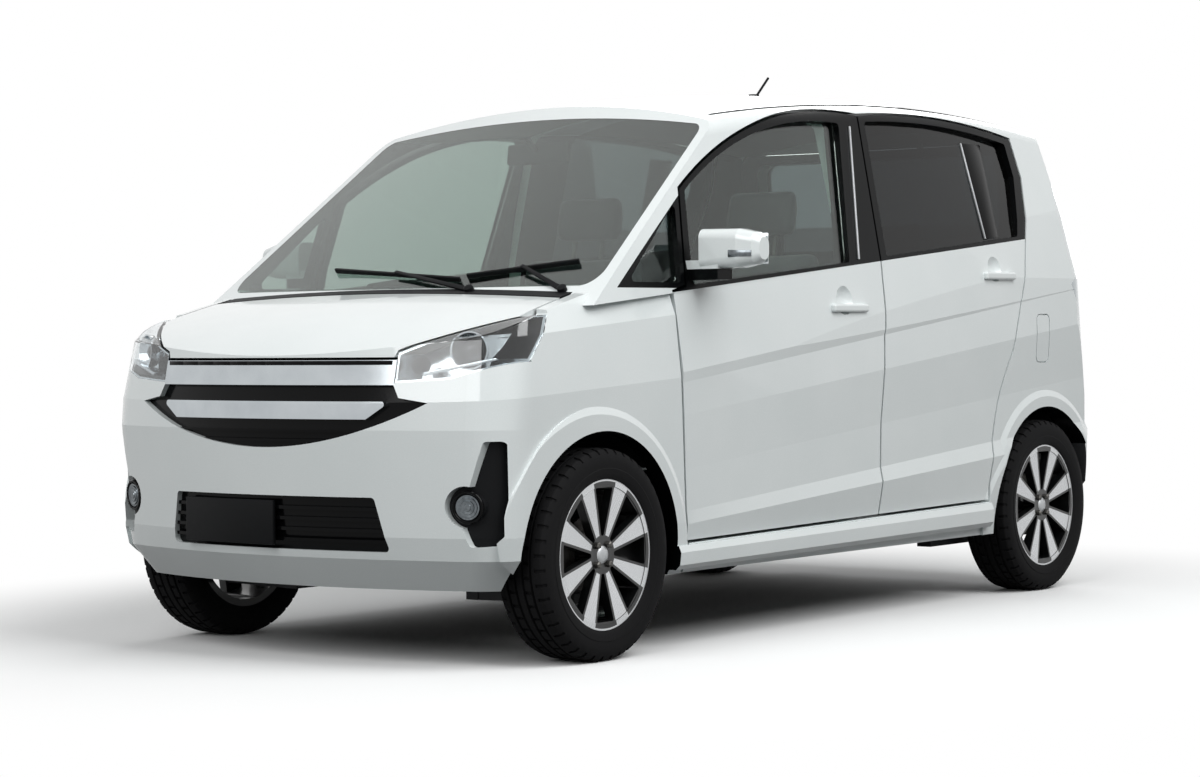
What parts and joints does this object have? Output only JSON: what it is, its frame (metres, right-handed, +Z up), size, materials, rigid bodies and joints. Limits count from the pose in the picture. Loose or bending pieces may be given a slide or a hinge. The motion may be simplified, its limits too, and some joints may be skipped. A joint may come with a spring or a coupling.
{
  "type": "kei car",
  "caption": "Small white five-door hatchback car with rolling wheels, linked steering, hinged doors, hood and tailgate.",
  "frame": {"origin": "on the ground under the middle of the car", "axes": "+Z up, the nose along -Y, the car's left side along +X"},
  "size_m": [1.844, 3.3934, 1.6999],
  "materials": {
    "white_paint": "gloss pearl white",
    "black_plastic": "grained",
    "gloss_black": "gloss",
    "chrome_trim": "polished",
    "clear_glass": "green tint",
    "privacy_glass": "dark tint",
    "lamp_clear": "clear lens",
    "lamp_red": "red lens",
    "tyre_rubber": "matte",
    "alloy": "machined and black",
    "dark_steel": "coated",
    "steel": "bare",
    "underbody": "sealed",
    "seat_cloth": "woven"
  },
  "bodies": {
    "body": {"roof_panel": "white_paint", "body_side_left": "white_paint", "body_side_right": "white_paint", "front_fender_left": "white_paint", "front_fender_right": "white_paint", "front_bumper": "white_paint", "rear_bumper": "white_paint", "floor_pan": "underbody", "front_liners": "black_plastic", "rear_wheelhouses": "black_plastic", "windscreen": "clear_glass", "quarter_glass": "clear_glass", "cowl_panel": "black_plastic", "grille_bars": "chrome_trim", "grille_mesh": "gloss_black", "headlamps": "lamp_clear", "headlamp_housings": "gloss_black", "fog_lamps": "black_plastic", "tail_lamps": "lamp_red", "dashboard": "black_plastic", "front_seats": "seat_cloth", "rear_seat": "seat_cloth", "engine": "dark_steel", "front_suspension": "dark_steel", "rear_axle": "dark_steel", "exhaust": "steel", "fuel_tank": "black_plastic", "antenna": "black_plastic"},
    "hood": {"hood": "white_paint"},
    "tailgate": {"tailgate": "white_paint", "tailgate_glass": "privacy_glass"},
    "steering_wheel": {"steering_wheel": "black_plastic"},
    "front_door_left": {"front_door_left": "white_paint", "front_door_glass_left": "clear_glass", "door_mirror_left": "white_paint"},
    "rear_door_left": {"rear_door_left": "white_paint", "rear_door_glass_left": "privacy_glass"},
    "knuckle_left": {"knuckle_left": "dark_steel"},
    "front_door_right": {"front_door_right": "white_paint", "front_door_glass_right": "clear_glass", "door_mirror_right": "white_paint"},
    "rear_door_right": {"rear_door_right": "white_paint", "rear_door_glass_right": "privacy_glass"},
    "knuckle_right": {"knuckle_right": "dark_steel"},
    "wheel_front_left": {"tyre_front_left": "tyre_rubber", "wheel_front_left": "alloy"},
    "wheel_front_right": {"tyre_front_right": "tyre_rubber", "wheel_front_right": "alloy"},
    "wheel_rear_left": {"tyre_rear_left": "tyre_rubber", "wheel_rear_left": "alloy"},
    "wheel_rear_right": {"tyre_rear_right": "tyre_rubber", "wheel_rear_right": "alloy"}
  },
  "joints": [
    {"name": "steer_left", "type": "hinge", "parent": "body", "child": "knuckle_left", "pos_m": [0.625, -1.1525, 0.281], "axis": [0, 0, 1], "range_deg": [-35, 35]},
    {"name": "front_door_left_swing", "type": "hinge", "parent": "body", "child": "front_door_left", "pos_m": [0.736, -0.816, 0.64], "axis": [0, 0, -1], "range_deg": [0, 65]},
    {"name": "rear_door_left_swing", "type": "hinge", "parent": "body", "child": "rear_door_left", "pos_m": [0.736, 0.235, 0.68], "axis": [0, 0, -1], "range_deg": [0, 70]},
    {"name": "steer_right", "type": "hinge", "parent": "body", "child": "knuckle_right", "pos_m": [-0.625, -1.1525, 0.281], "axis": [0, 0, 1], "range_deg": [-35, 35]},
    {"name": "front_door_right_swing", "type": "hinge", "parent": "body", "child": "front_door_right", "pos_m": [-0.736, -0.816, 0.64], "axis": [0, 0, 1], "range_deg": [0, 65]},
    {"name": "rear_door_right_swing", "type": "hinge", "parent": "body", "child": "rear_door_right", "pos_m": [-0.736, 0.235, 0.68], "axis": [0, 0, 1], "range_deg": [0, 70]},
    {"name": "wheel_front_left_spin", "type": "hinge", "parent": "knuckle_left", "child": "wheel_front_left", "pos_m": [0.65, -1.1525, 0.281], "axis": [1, 0, 0], "continuous": true},
    {"name": "wheel_front_right_spin", "type": "hinge", "parent": "knuckle_right", "child": "wheel_front_right", "pos_m": [-0.65, -1.1525, 0.281], "axis": [1, 0, 0], "continuous": true},
    {"name": "wheel_rear_left_spin", "type": "hinge", "parent": "body", "child": "wheel_rear_left", "pos_m": [0.645, 1.2775, 0.281], "axis": [1, 0, 0], "continuous": true},
    {"name": "wheel_rear_right_spin", "type": "hinge", "parent": "body", "child": "wheel_rear_right", "pos_m": [-0.645, 1.2775, 0.281], "axis": [1, 0, 0], "continuous": true},
    {"name": "steering_wheel_turn", "type": "hinge", "parent": "body", "child": "steering_wheel", "pos_m": [-0.33, -0.52, 0.862], "axis": [0, 0.9063, 0.4226], "range_deg": [-560, 560]},
    {"name": "hood_lift", "type": "hinge", "parent": "body", "child": "hood", "pos_m": [0, -1.168, 0.992], "axis": [-1, 0, 0], "range_deg": [0, 55]},
    {"name": "tailgate_lift", "type": "hinge", "parent": "body", "child": "tailgate", "pos_m": [0, 1.534, 1.5], "axis": [1, 0, 0], "range_deg": [0, 75]}
  ],
  "couplings": [
    {"joint": "steer_right", "follows": "steer_left", "ratio": 1},
    {"joint": "steering_wheel_turn", "follows": "steer_left", "ratio": 16}
  ]
}
